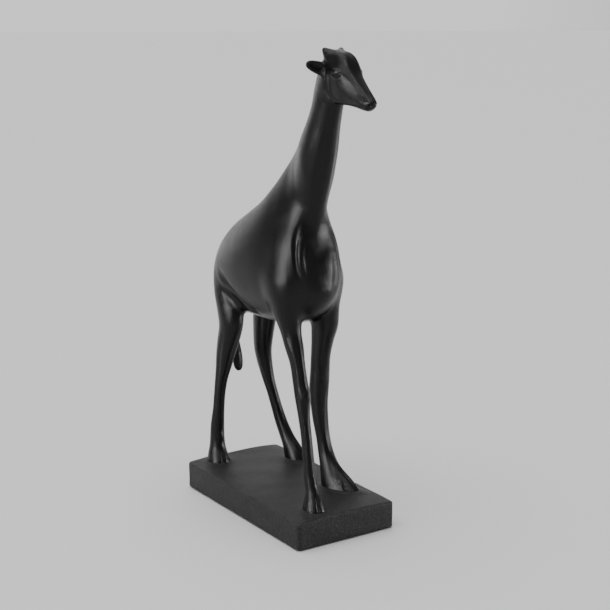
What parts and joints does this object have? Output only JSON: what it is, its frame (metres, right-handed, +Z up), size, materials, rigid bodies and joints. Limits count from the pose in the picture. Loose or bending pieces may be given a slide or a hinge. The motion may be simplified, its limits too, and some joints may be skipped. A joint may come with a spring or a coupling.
{
  "type": "standing giraffe statue",
  "caption": "Standing giraffe figure in satin black on a low rectangular plinth, built from cast body, neck, head, legs, ears and tail joined by steel rods and pegs.",
  "frame": {"origin": "centre of the resting plane, under the middle of the plinth", "axes": "+X towards the giraffe's head, +Y towards its left side, +Z up"},
  "size_m": [0.2085, 0.094, 0.3869],
  "materials": {
    "figure_paint": "satin",
    "plinth_paint": "satin",
    "felt": "matte",
    "bright_steel": "satin",
    "zinc_plated_steel": "satin"
  },
  "bodies": {
    "root": {"plinth": "plinth_paint", "felt_pad": "felt", "torso": "figure_paint", "neck": "figure_paint", "head": "figure_paint", "left_ear": "figure_paint", "right_ear": "figure_paint", "left_ossicone": "figure_paint", "right_ossicone": "figure_paint", "front_left_leg": "figure_paint", "front_right_leg": "figure_paint", "hind_left_leg": "figure_paint", "hind_right_leg": "figure_paint", "tail": "figure_paint", "neck_dowel": "bright_steel", "head_pin": "bright_steel", "tail_wire": "bright_steel", "front_left_rod": "bright_steel", "front_right_rod": "bright_steel", "hind_left_rod": "bright_steel", "hind_right_rod": "bright_steel", "rod_washers": "zinc_plated_steel", "rod_nuts": "zinc_plated_steel"}
  },
  "joints": []
}
